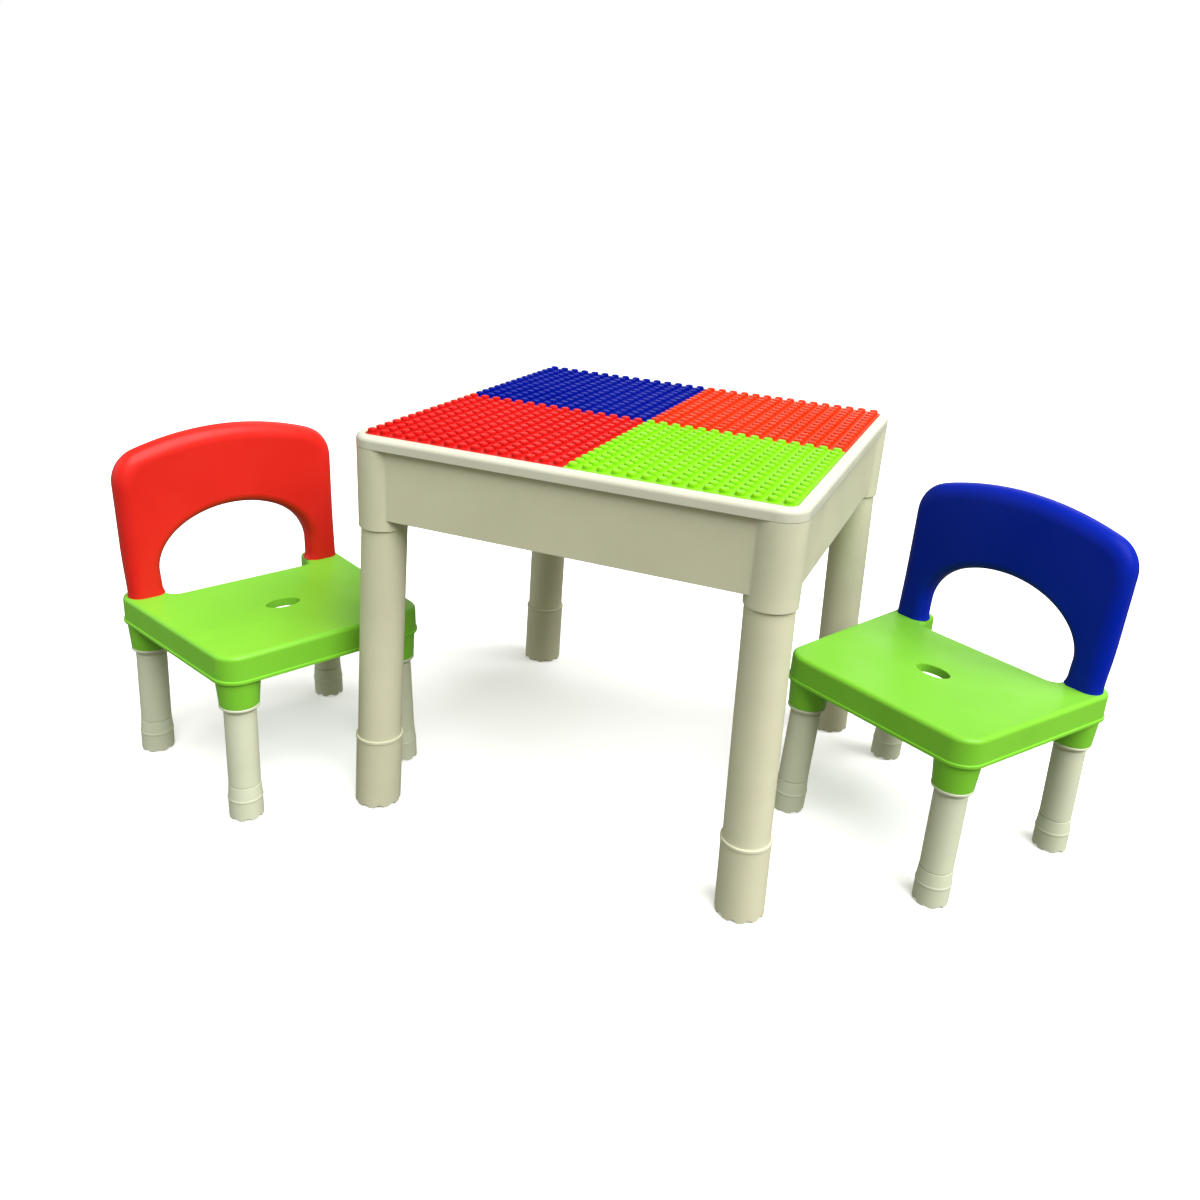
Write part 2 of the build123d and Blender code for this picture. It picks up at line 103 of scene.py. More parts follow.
def piece(name, bm, place, body, material, slot, *stands_for):
    """Turns a bmesh into a smooth-shaded piece that rides on a body and stands for CAD nodes."""
    bmesh.ops.recalc_face_normals(bm, faces=bm.faces)
    mesh = bpy.data.meshes.new(name)
    bm.to_mesh(mesh)
    bm.free()
    mesh.transform(place)
    mesh.shade_smooth()
    mesh.set_sharp_from_angle(angle=math.radians(38))
    mesh.materials.append(material)
    obj = bpy.data.objects.new(name, mesh)
    bpy.context.collection.objects.link(obj)
    weighted = obj.modifiers.new("flat faces stay flat", "WEIGHTED_NORMAL")
    weighted.keep_sharp = True
    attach(obj, body)
    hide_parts(*stands_for)
    return obj


def ring(bm, points):
    return [bm.verts.new(p) for p in points]


def bridge(bm, a, b):
    for i in range(len(a)):
        j = (i + 1) % len(a)
        bm.faces.new((a[i], a[j], b[j], b[i]))


def loft(bm, loops, closed=False):
    """Skins between point loops in turn. Its ends are capped, or joined to each other when closed."""
    rings = [ring(bm, loop) for loop in loops]
    for a, b in zip(rings, rings[1:]):
        bridge(bm, a, b)
    if closed:
        bridge(bm, rings[-1], rings[0])
    else:
        bm.faces.new(rings[0])
        bm.faces.new(rings[-1])
    return rings


def fill_between(bm, outer, inner):
    """Flat face between an outer ring and the rings inside it."""
    edges = []
    for loop in (outer, *inner):
        for i, v in enumerate(loop):
            w = loop[(i + 1) % len(loop)]
            edges.append(bm.edges.get((v, w)) or bm.edges.new((v, w)))
    bmesh.ops.triangle_fill(bm, use_beauty=True, use_dissolve=False, edges=edges)


def arc(centre, radius, start, end, steps=5):
    """Points on an arc, angles in degrees."""
    out = []
    for i in range(steps + 1):
        a = math.radians(start + (end - start) * i / steps)
        out.append((centre[0] + radius * math.cos(a), centre[1] + radius * math.sin(a)))
    return out


def turned_loop(radius, z, centre=(0, 0), lean=(0, 0), segments=64):
    """A circle at height z whose middle moves sideways with height."""
    x, y = centre[0] + lean[0] * z, centre[1] + lean[1] * z
    steps = [2 * math.pi * i / segments for i in range(segments)]
    return [(x + radius * math.cos(a), y + radius * math.sin(a), z) for a in steps]


def lathe(bm, profile, centre=(0, 0), lean=(0, 0), segments=64, closed=False):
    loft(bm, [turned_loop(r, z, centre, lean, segments) for r, z in profile], closed)


def square_loop(half, radius, z, steps=12):
    points = []
    for quarter in range(4):
        side_x = 1 if quarter in (0, 3) else -1
        side_y = 1 if quarter in (0, 1) else -1
        middle = (side_x * (half - radius), side_y * (half - radius))
        points += arc(middle, radius, 90 * quarter, 90 * quarter + 90, steps)
    return [(x, y, z) for x, y in points]


def corner_arcs(points, radii):
    """The corner arcs of an anticlockwise polygon: centre, radius, first angle, sweep and side of each."""
    arcs = []
    for i, radius in enumerate(radii):
        before, here, after = Vector(points[i - 1]), Vector(points[i]), Vector(points[(i + 1) % len(points)])
        u, w = (here - before).normalized(), (after - here).normalized()
        side = 1 if u.cross(w) > 0 else -1
        turn = u.angle(w)
        start = here - u * radius * math.tan(turn / 2)
        centre = start + Vector((-u.y, u.x)) * side * radius
        first = math.atan2(start.y - centre.y, start.x - centre.x)
        arcs.append((centre, radius, first, side * turn, side))
    return arcs


def arcs_loop(arcs, offset, z, steps=8):
    """The rounded polygon grown by an offset, at height z."""
    points = []
    for centre, radius, first, sweep, side in arcs:
        grown = radius + side * offset
        for i in range(steps + 1):
            a = first + sweep * i / steps
            points.append((centre.x + grown * math.cos(a), centre.y + grown * math.sin(a), z))
    return points


def bevelled_box(bm, x_range, y_range, z_range, bevel=0.5):
    made = bmesh.ops.create_cube(bm, size=1)["verts"]
    lows = [r[0] for r in (x_range, y_range, z_range)]
    sizes = [r[1] - r[0] for r in (x_range, y_range, z_range)]
    for v in made:
        v.co = [low + (c + 0.5) * size for low, c, size in zip(lows, v.co, sizes)]
    edges = list({e for v in made for e in v.link_edges})
    bmesh.ops.bevel(bm, geom=edges, offset=bevel, segments=2, affect="EDGES", profile=0.5)


# ---------------------------------------------------------------- materials

def linear(colour):
    """sRGB numbers from 0 to 255, as linear light."""
    out = []
    for c in colour:
        c /= 255
        out.append(c / 12.92 if c <= 0.04045 else ((c + 0.055) / 1.055) ** 2.4)
    return out


def moulded_plastic(name, colour, roughness, grain, scatter=0.0, specular=0.3):
    """Moulded plastic: slight colour drift, pale worn edges, handled patches and a fine moulded grain."""
    material = bpy.data.materials.new(name)
    material.use_nodes = True
    nodes, links = material.node_tree.nodes, material.node_tree.links
    shader = nodes["Principled BSDF"]
    shader.inputs["Specular IOR Level"].default_value = specular
    shader.inputs["Subsurface Weight"].default_value = scatter
    shader.inputs["Subsurface Scale"].default_value = 0.003
    where = nodes.new("ShaderNodeTexCoord").outputs["Object"]

    def noise(scale, detail=2.0, stretch=None):
        texture = nodes.new("ShaderNodeTexNoise")
        texture.inputs["Scale"].default_value = scale
        texture.inputs["Detail"].default_value = detail
        source = where
        if stretch:
            mapping = nodes.new("ShaderNodeMapping")
            mapping.inputs["Scale"].default_value = stretch
            mapping.inputs["Rotation"].default_value = (0.4, 0.9, 0.7)
            links.new(where, mapping.inputs["Vector"])
            source = mapping.outputs["Vector"]
        links.new(source, texture.inputs["Vector"])
        return texture.outputs["Fac"]

    def ranged(value, low, high, to_low, to_high):
        node = nodes.new("ShaderNodeMapRange")
        for key, number in zip(("From Min", "From Max", "To Min", "To Max"), (low, high, to_low, to_high)):
            node.inputs[key].default_value = number
        links.new(value, node.inputs["Value"])
        return node.outputs["Result"]

    def mixed(factor, a, b):
        node = nodes.new("ShaderNodeMix")
        node.data_type = "RGBA"
        links.new(factor, node.inputs["Factor"])
        for socket, value in ((node.inputs[6], a), (node.inputs[7], b)):
            if isinstance(value, list):
                socket.default_value = (*value, 1)
            else:
                links.new(value, socket)
        return node.outputs[2]

    def math_node(operation, a, b):
        node = nodes.new("ShaderNodeMath")
        node.operation = operation
        for socket, value in zip(node.inputs, (a, b)):
            if isinstance(value, float):
                socket.default_value = value
            else:
                links.new(value, socket)
        return node.outputs["Value"]

    base = linear(colour)
    darker = [c * 0.96 for c in base]
    paler = [min(1.0, c * 1.03 + 0.003) for c in base]
    worn = [min(1.0, c * 1.12 + 0.02) for c in base]
    drift = ranged(noise(9.0, 3.0), 0.35, 0.65, 0.0, 1.0)
    edge = nodes.new("ShaderNodeNewGeometry").outputs["Pointiness"]
    wear = math_node("MULTIPLY", ranged(edge, 0.53, 0.62, 0.0, 0.8), noise(60.0, 3.0))
    links.new(mixed(wear, mixed(drift, darker, paler), worn), shader.inputs["Base Color"])

    handled = ranged(noise(22.0, 4.0), 0.4, 0.7, -0.05, 0.07)
    scratches = ranged(noise(160.0, 2.0, (1.0, 0.04, 1.0)), 0.66, 0.78, 0.0, 0.12)
    rough = math_node("ADD", math_node("ADD", handled, scratches), roughness)
    links.new(rough, shader.inputs["Roughness"])

    fine = math_node("MULTIPLY", noise(1500.0, 1.0), grain)
    flow = math_node("MULTIPLY", noise(30.0, 1.0), 0.5)
    bump = nodes.new("ShaderNodeBump")
    bump.inputs["Strength"].default_value = 0.35
    bump.inputs["Distance"].default_value = 0.0004
    links.new(math_node("ADD", fine, flow), bump.inputs["Height"])
    links.new(bump.outputs["Normal"], shader.inputs["Normal"])
    return material


IVORY = moulded_plastic("ivory moulded plastic", (199, 197, 171), 0.42, 0.16, scatter=0.05)
# The rim is the apron's ivory painted paler and whiter: a painted highlight standing in for the strong light
# on its top.
RIM_IVORY_PAINTED_LIT = moulded_plastic("rim ivory painted paler as top light", (203, 202, 184), 0.34, 0.14, scatter=0.05)
COOL_IVORY = moulded_plastic("cool ivory leg plastic", (200, 204, 180), 0.44, 0.16, scatter=0.05)
LIME = moulded_plastic("lime green seat plastic", (118, 190, 48), 0.38, 0.14, specular=0.25, scatter=0.05)
RED_BACK = moulded_plastic("red backrest plastic", (208, 30, 22), 0.4, 0.12, specular=0.2)
BLUE_BACK = moulded_plastic("deep blue backrest plastic", (0, 30, 158), 0.42, 0.12, specular=0.06)
PANEL_PLASTIC = {
    colour: moulded_plastic(f"{colour} panel plastic", tint, 0.34, 0.06, scatter, specular)
    for colour, tint, scatter, specular in (
        ("red", (195, 22, 20), 0.2, 0.05),
        ("green", (125, 200, 20), 0.2, 0.05),
        ("orange", (202, 50, 12), 0.2, 0.05),
        ("blue", (0, 18, 134), 0.0, 0.02),
    )
}
GLIDE = moulded_plastic("soft grey glide", (118, 118, 110), 0.75, 0.4)


# ---------------------------------------------------------------- table

def top_rim():
    """Frame round the tabletop: soft outer edges, and a ledge inside for the panels."""
    opening, opening_corner = PANEL_OPENING_HALF, 10.3
    top_round, lip_round, bottom_round = 6.0, 1.0, 0.8
    outer = arc((TABLE_HALF - top_round, RIM_TOP - top_round), top_round, 0, 90, 9)
    inner = arc((opening + lip_round, RIM_TOP - lip_round), lip_round, 90, 180, 3)
    below = arc((TABLE_HALF - bottom_round, RIM_BOTTOM + bottom_round), bottom_round, -90, 0, 3)
    ledge = [(opening, LEDGE_TOP), (LEDGE_HALF, LEDGE_TOP), (LEDGE_HALF, LEDGE_BOTTOM),
             (opening, LEDGE_BOTTOM), (opening, RIM_BOTTOM)]
    loops = []
    for half, z in outer + inner + ledge + below:
        inside = half < opening + 3
        radius = opening_corner if inside else POST_RADIUS - (TABLE_HALF - half)
        loops.append(square_loop(half, radius, z))
    bm = bmesh.new()
    loft(bm, loops, closed=True)
    # The rim takes the ivory painted paler, a painted highlight for the light on its top.
    piece("rim", bm, TABLE, "table", RIM_IVORY_PAINTED_LIT, "ivory", "top_rim")


def apron_loop(grow, z, steps=10):
    """Plan of the apron: flat walls that run into the round corner posts through small hollows."""
    hollow = 5.0
    wall = APRON_OUTER + grow
    radius = POST_RADIUS + grow
    reach = wall - POST_CENTRE + hollow
    along = math.sqrt((radius + hollow) ** 2 - reach**2)
    tilt = math.degrees(math.atan2(reach, along))
    hollow_a = arc((POST_CENTRE + reach, POST_CENTRE - along), hollow, 180, 90 + tilt, 5)
    post = arc((POST_CENTRE, POST_CENTRE), radius, tilt - 90, 180 - tilt, 24)
    hollow_b = arc((POST_CENTRE - along, POST_CENTRE + reach), hollow, -tilt, -90, 5)
    quarter = hollow_a + post[1:-1] + hollow_b
    points = []
    for turn in range(4):
        c, s = (1, 0, -1, 0)[turn], (0, 1, 0, -1)[turn]
        points += [(c * x - s * y, s * x + c * y, z) for x, y in quarter]
    return points


def table_body():
    """Apron walls with round posts, the floor of the storage basin and its ribs, and the leg sockets."""
    bm = bmesh.new()
    edge, inner_corner = 1.2, 19.0
    outside = [apron_loop(-edge, APRON_BOTTOM), apron_loop(-edge * 0.3, APRON_BOTTOM + edge * 0.3)]
    outside += [apron_loop(0, APRON_BOTTOM + edge), apron_loop(0, RIM_BOTTOM)]
    skins = [ring(bm, loop) for loop in outside]
    for a, b in zip(skins, skins[1:]):
        bridge(bm, a, b)
    inside = [ring(bm, square_loop(APRON_INNER, inner_corner, z)) for z in (APRON_BOTTOM, RIM_BOTTOM)]
    bridge(bm, *inside)
    fill_between(bm, skins[0], [inside[0]])
    fill_between(bm, skins[-1], [inside[-1]])
    loft(bm, [square_loop(APRON_INNER + 1, inner_corner + 1, z) for z in (FLOOR_BOTTOM, FLOOR_TOP)])
    span, rib_heights = (-APRON_INNER, APRON_INNER), (APRON_BOTTOM + 1, FLOOR_BOTTOM + 0.5)
    for offset in BASIN_RIBS:
        across = (offset - 1, offset + 1)
        bevelled_box(bm, span, across, rib_heights, 0.3)
        bevelled_box(bm, across, span, rib_heights, 0.3)
    bore, bore_top = 23.5, 409.0
    profile = [(bore, bore_top), (bore, POST_BOTTOM + 0.6), (bore + 0.6, POST_BOTTOM)]
    profile += arc((POST_RADIUS - edge, POST_BOTTOM + edge), edge, -90, 0, 4)
    profile += [(POST_RADIUS - 0.05, RIM_BOTTOM)]
    for side_x, side_y in CORNERS.values():
        lathe(bm, profile, (side_x * POST_CENTRE, side_y * POST_CENTRE), segments=96)
    piece("apron_and_basin", bm, TABLE, "table", IVORY, "ivory", "table_body")


def cross_divider():
    """Plus-shaped wall on the basin floor, with a flange on top for the panels' inner edges."""
    bm = bmesh.new()
    under, in_basin, in_opening = RIM_BOTTOM - 0.1, APRON_INNER - 0.1, LEDGE_HALF - 0.1
    levels = (
        (in_basin, 1.5, (FLOOR_TOP + 0.1, under), 0.4),
        (in_opening, 1.5, (under - 1, LEDGE_TOP), 0.4),
        (in_opening, 8.0, (LEDGE_TOP - 3, LEDGE_TOP), 0.6),
    )
    for along_x in (True, False):
        for reach, half_thickness, heights, bevel in levels:
            spans = [(-reach, reach), (-half_thickness, half_thickness)]
            bevelled_box(bm, *(spans if along_x else spans[::-1]), heights, bevel)
    piece("divider", bm, TABLE, "table", IVORY, "ivory", "cross_divider")


def scalloped_bottom(radius, height, count, depth, centre, lean, inner, segments=240):
    """Loops for the bottom of a foot: its lower edge rises into round notches."""
    notch_share = 0.55
    half_width = math.pi / count * notch_share

    def lift(angle):
        off = (angle * count / (2 * math.pi)) % 1 - 0.5
        x = off * 2 * math.pi / count / half_width
        return depth * math.sqrt(max(0.0, 1 - x * x))

    def loop(r, base, share):
        points = []
        for i in range(segments):
            a = 2 * math.pi * i / segments
            z = base + share * lift(a)
            x, y = centre[0] + lean[0] * z, centre[1] + lean[1] * z
            points.append((x + r * math.cos(a), y + r * math.sin(a), z))
        return points

    rim = [loop(inner, 0.0, 1.0), loop(radius - 0.6, 0.0, 1.0), loop(radius, 0.6, 1.0)]
    return rim + [loop(radius, height, 0.0)]


def table_leg(corner):
    """Tube, lower section with its bright lip, and the glide in its bottom."""
    side_x, side_y = CORNERS[corner]
    foot = (side_x * LEG_FOOT, side_y * LEG_FOOT)
    lean = (-side_x * LEG_SPLAY, -side_y * LEG_SPLAY)
    bm = bmesh.new()
    low, bore, edge = EXTENSION_TOP - 41.9, 21.0, 1.2
    plug, plug_top = 23.4, POST_BOTTOM + 45
    tube = [(bore, low), (LEG_RADIUS, low), (LEG_RADIUS, POST_BOTTOM - edge - 0.2)]
    tube += arc((LEG_RADIUS - edge, POST_BOTTOM - edge), edge, 0, 90, 4)
    tube += [(plug, POST_BOTTOM), (plug, plug_top), (bore, plug_top)]
    lathe(bm, tube, foot, lean, 96, closed=True)
    piece(f"leg_tube_{corner}_skin", bm, TABLE, "table", IVORY, "ivory", f"leg_tube_{corner}")

    bm = bmesh.new()
    r, top, lip_round = EXTENSION_RADIUS, EXTENSION_TOP, 1.1
    lip, cup, cup_floor, hole = r + 0.8, LEG_RADIUS + 0.15, top - 42, 24.5
    loops = scalloped_bottom(r, 6.0, 10, 3.4, foot, lean, hole)
    upper = [(r, top - 4.4), (r + 0.25, top - 4.1), (lip, top - 3.5), (lip, top - lip_round)]
    upper += arc((lip - lip_round, top - lip_round), lip_round, 0, 90, 4)[1:]
    upper += [(cup, top), (cup, cup_floor), (hole, cup_floor)]
    loops += [turned_loop(r, z, foot, lean, 240) for r, z in upper]
    loft(bm, loops, closed=True)
    piece(f"leg_extension_{corner}_skin", bm, TABLE, "table", IVORY, "ivory", f"leg_extension_{corner}")

    bm = bmesh.new()
    r, top = 24.2, 9.0
    disc = [(r - 0.8, 0.0), (r, 0.8), (r, top - 0.6), (r - 0.6, top)]
    lathe(bm, disc, foot, lean, 64)
    piece(f"glide_{corner}", bm, TABLE, "table", GLIDE, "glide", f"leg_glide_{corner}")


def stud_panel(colour):
    """Panel with its grid of studs on top, and a shallow ribbed hollow below."""
    corner = PANEL_CORNERS[colour]
    low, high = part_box(f"stud_panel_{colour}")
    place = Matrix.Translation(((low[0] + high[0]) / 2, (low[1] + high[1]) / 2, low[2])) @ MM
    half = PANEL_SIZE / 2
    square = [(half, -half), (half, half), (-half, half), (-half, -half)]
    outer_corner = (CORNERS[corner][0] * half, CORNERS[corner][1] * half)
    rim_corner, divider_corner = 10.0, 0.8
    radii = [rim_corner if point == outer_corner else divider_corner for point in square]
    arcs = corner_arcs(square, radii)
    bm = bmesh.new()
    top = PANEL_THICKNESS
    inset, hollow_top = 0.7, 3.1
    shrink = (half - 2) / (half - inset)
    loops = []
    for height in (hollow_top, 0.0):
        loops.append([(x * shrink, y * shrink, z) for x, y, z in arcs_loop(arcs, -inset, height)])
    outer_wall = [(-0.5, 0.0), (0.0, 0.5), (0.0, top - 0.6), (-0.18, top - 0.18), (-0.6, top)]
    loops += [arcs_loop(arcs, offset, z) for offset, z in outer_wall]
    loft(bm, loops)
    span, rib_heights = (-half + 1.5, half - 1.5), (0.1, hollow_top + 0.3)
    for k in range(-2, 3):
        across = (k * PANEL_RIB_PITCH - 0.8, k * PANEL_RIB_PITCH + 0.8)
        bevelled_box(bm, across, span, rib_heights, 0.2)
        bevelled_box(bm, span, across, rib_heights, 0.2)
    r, h, soft = STUD_RADIUS, top + STUD_HEIGHT, 1.7
    profile = [(r + 0.35, top - 0.2), (r + 0.3, top + 0.02), (r + 0.02, top + 0.3), (r - 0.08, h - soft)]
    profile += arc((r - 0.08 - soft, h - soft), soft, 0, 90, 5)[1:]
    middle = (STUDS_PER_SIDE - 1) / 2
    for i in range(STUDS_PER_SIDE):
        for j in range(STUDS_PER_SIDE):
            lathe(bm, profile, ((i - middle) * STUD_PITCH, (j - middle) * STUD_PITCH), segments=24)
    piece(f"panel_{colour}", bm, place, f"{colour}_panel", PANEL_PLASTIC[colour], f"{colour}_panel",
          f"stud_panel_{colour}")


# ---------------------------------------------------------------- chairs

def seat_arcs():
    right = [(133.0, -129.0), (151.0, 135.0), (105.0, 135.0), (95.0, 90.0)]
    points = right + [(-x, y) for x, y in reversed(right)]
    radii = [29.0, 24.0, 9.0, 13.0]
    return corner_arcs(points, radii + radii[::-1])


def ellipse_loop(half_x, half_y, z, segments=56):
    steps = [2 * math.pi * i / segments for i in range(segments)]
    return [(half_x * math.cos(a), FINGER_HOLE_Y + half_y * math.sin(a), z) for a in steps]


def seat_shell(bm):
    """Top plate with its rounded edge, the skirt with its bead, and the finger hole through the plate."""
    arcs = seat_arcs()
    low, soft = SKIRT_BOTTOM, 5.5
    skirt = [(-3.0, low), (0.7, low), (1.3, low + 0.3), (1.5, low + 0.9), (1.5, low + 3.2)]
    skirt += [(1.25, low + 3.8), (0.7, low + 4.1), (-0.05, low + 4.4), (-0.5, SEAT_TOP - soft)]
    skirt += arc((-0.5 - soft, SEAT_TOP - soft), soft, 0, 90, 7)[1:]
    outer = [ring(bm, arcs_loop(arcs, offset, z)) for offset, z in skirt]
    for a, b in zip(outer, outer[1:]):
        bridge(bm, a, b)
    ceiling = ring(bm, arcs_loop(arcs, -3.5, SEAT_UNDERSIDE))
    bridge(bm, ceiling, outer[0])
    half_x, half_y = FINGER_HOLE
    collar_wall, collar_bottom = 3.0, SEAT_TOP - 11
    levels = [(1.5, SEAT_TOP), (0.5, SEAT_TOP - 0.4), (0.0, SEAT_TOP - 1.6), (0.0, collar_bottom)]
    levels += [(collar_wall, collar_bottom), (collar_wall, SEAT_UNDERSIDE)]
    walls = [ring(bm, ellipse_loop(half_x + grow, half_y + grow, z)) for grow, z in levels]
    for a, b in zip(walls, walls[1:]):
        bridge(bm, a, b)
    fill_between(bm, outer[-1], [walls[0]])
    fill_between(bm, ceiling, [walls[-1]])


def seat_ribs(bm):
    """Low ribs under the top plate. The middle ones stop at the finger hole."""
    heights = (SEAT_UNDERSIDE - 8, SEAT_UNDERSIDE + 0.5)
    front, back, side = -127.0, 88.0, 132.0
    for x in SEAT_RIBS_ALONG:
        spans = ((front, back),) if x else ((front, FINGER_HOLE_Y - 15), (FINGER_HOLE_Y + 15, back))
        for span in spans:
            bevelled_box(bm, (x - 1, x + 1), span, heights, 0.3)
    for y in SEAT_RIBS_ACROSS:
        spans = ((-side, side),) if y != FINGER_HOLE_Y else ((-side, -24.0), (24.0, side))
        for span in spans:
            bevelled_box(bm, span, (y - 1, y + 1), heights, 0.3)


def chair_seat(colour, place):
    """Hollow seat with ribs and four leg sockets below."""
    bm = bmesh.new()
    seat_shell(bm)
    seat_ribs(bm)
    bore, low, high, neck = 18.1, SOCKET_RADIUS_BOTTOM, SOCKET_RADIUS_TOP, 22.0
    profile = [(bore, SOCKET_BOTTOM + 29), (bore, SOCKET_BOTTOM + 0.4), (bore + 0.5, SOCKET_BOTTOM)]
    profile += [(low - 0.8, SOCKET_BOTTOM), (low - 0.2, SOCKET_BOTTOM + 0.2), (low, SOCKET_BOTTOM + 0.8)]
    profile += [(high, SKIRT_BOTTOM - 0.5), (high, SKIRT_BOTTOM + 1.5)]
    profile += [(neck, SKIRT_BOTTOM + 2.0), (neck, SEAT_UNDERSIDE + 0.5)]
    for corner, (x, y) in chair_feet().items():
        lathe(bm, profile, (x, y), chair_lean(corner), 80)
    body = f"{colour}_chair"
    piece(f"{body}_seat_shell", bm, place, body, LIME, "lime_seat", f"{body}_seat")


def chair_feet():
    spread = CHAIR_LEG_SPLAY * SOCKET_BOTTOM
    feet = {}
    for corner, (side_x, side_y) in CORNERS.items():
        x, y = FRONT_SOCKET if side_y < 0 else REAR_SOCKET
        feet[corner] = (side_x * (x + spread), y + side_y * spread)
    return feet


def chair_lean(corner):
    side_x, side_y = CORNERS[corner]
    return (-side_x * CHAIR_LEG_SPLAY, -side_y * CHAIR_LEG_SPLAY)


def chair_leg(colour, place, corner):
    """Tube with a flange under the socket and a groove above the cap, and the cap with a scalloped foot."""
    body = f"{colour}_chair"
    foot, lean = chair_feet()[corner], chair_lean(corner)
    r, top = CHAIR_LEG_RADIUS, SOCKET_BOTTOM - 0.1
    bm = bmesh.new()
    low, inner, plug, plug_top = 8.0, r - 2.2, r - 0.6, SOCKET_BOTTOM + 28.0
    flange = SOCKET_RADIUS_BOTTOM + 0.3
    groove, neck = CHAIR_CAP_HEIGHT - 0.1, r - 1.5
    tube = [(inner, low), (r, low), (r, groove - 0.2), (r - 1.0, groove), (r - 1.0, groove + 1.5)]
    tube += [(r, groove + 1.6), (r, top - 10.4), (neck, top - 9.6), (neck, top - 3.9), (r, top - 3.5)]
    tube += [(flange - 0.6, top - 3.2), (flange, top - 2.5), (flange, top - 0.6), (flange - 0.5, top)]
    tube += [(plug, top), (plug, plug_top), (inner, plug_top)]
    lathe(bm, tube, foot, lean, 80, closed=True)
    piece(f"{body}_tube_{corner}", bm, place, body, COOL_IVORY, "ivory", f"{body}_leg_{corner}")

    bm = bmesh.new()
    hole, sleeve, cap_top = 8.0, r + 0.06, CHAIR_CAP_HEIGHT
    loops = scalloped_bottom(r + 1.5, 5.0, 8, 2.8, foot, lean, hole, 192)
    cap = [(r + 1.5, 23.2), (r + 1.55, 24.0), (r + 1.9, 24.6), (r + 1.9, 26.4), (r + 1.45, 27.1)]
    cap += [(r + 1.35, 27.6), (r + 0.25, cap_top - 0.1), (sleeve, cap_top), (sleeve, low), (hole, low)]
    loops += [turned_loop(radius, z, foot, lean, 192) for radius, z in cap]
    loft(bm, loops)
    piece(f"{body}_cap_{corner}", bm, place, body, COOL_IVORY, "ivory", f"{body}_foot_cap_{corner}")


def back_outline():
    """Right half of the backrest's outer outline, from its base to the top middle, as (x, height) points."""
    crown_centre = BACK_HEIGHT - BACK_CROWN_RADIUS
    corner_x = BACK_HALF_WIDTH - BACK_CORNER_RADIUS
    reach = BACK_CROWN_RADIUS - BACK_CORNER_RADIUS
    corner_y = crown_centre + math.sqrt(reach**2 - corner_x**2)
    lean = math.degrees(math.atan2(corner_y - crown_centre, corner_x))
    points = [(BACK_BASE_HALF, -BACK_BASE_EXTRA), (BACK_HALF_WIDTH, corner_y)]
    points += arc((corner_x, corner_y), BACK_CORNER_RADIUS, 0, lean, 32)[1:]
    points += arc((0, crown_centre), BACK_CROWN_RADIUS, lean, 90, 48)[1:]
    return points


def outline_hit(outline, angle):
    """Where a ray from the arch's spring line meets the outer outline, for an angle up to 90 degrees."""
    direction = Vector((math.cos(angle), math.sin(angle)))
    for a, b in zip(outline, outline[1:]):
        a, b = Vector(a) - Vector((0, ARCH_SPRING)), Vector(b) - Vector((0, ARCH_SPRING))
        side_a, side_b = direction.cross(a), direction.cross(b)
        if side_a <= 0 <= side_b:
            hit = a.lerp(b, side_a / (side_a - side_b))
            return hit.x, hit.y + ARCH_SPRING
    return 0.0, BACK_HEIGHT


def back_stations():
    """Pairs of inner and outer points down the right-hand half of the arch, from its base to the middle."""
    outline = back_outline()
    stations = []
    upright_steps, arch_steps, flare_height = 9, 64, 9.0
    for i in range(upright_steps):
        y = ARCH_SPRING * i / upright_steps
        share = (y + BACK_BASE_EXTRA) / (ARCH_SPRING + BACK_BASE_EXTRA)
        inner = ARCH_BASE_HALF + (ARCH_HALF_WIDTH - ARCH_BASE_HALF) * share
        outer = BACK_BASE_HALF + (outline_hit(outline, 0.0)[0] - BACK_BASE_HALF) * share
        flare = max(0.0, 1 - y / flare_height) ** 2
        stations.append(((inner - 2.2 * flare, y), (outer + 0.6 * flare, y)))
    for i in range(arch_steps + 1):
        a = math.pi / 2 * i / arch_steps
        r = 1 / math.hypot(math.cos(a) / ARCH_HALF_WIDTH, math.sin(a) / ARCH_RISE)
        stations.append(((r * math.cos(a), ARCH_SPRING + r * math.sin(a)), outline_hit(outline, a)))
    return stations


def smooth_step(low, high, value):
    share = min(1.0, max(0.0, (value - low) / (high - low)))
    return share * share * (3 - 2 * share)


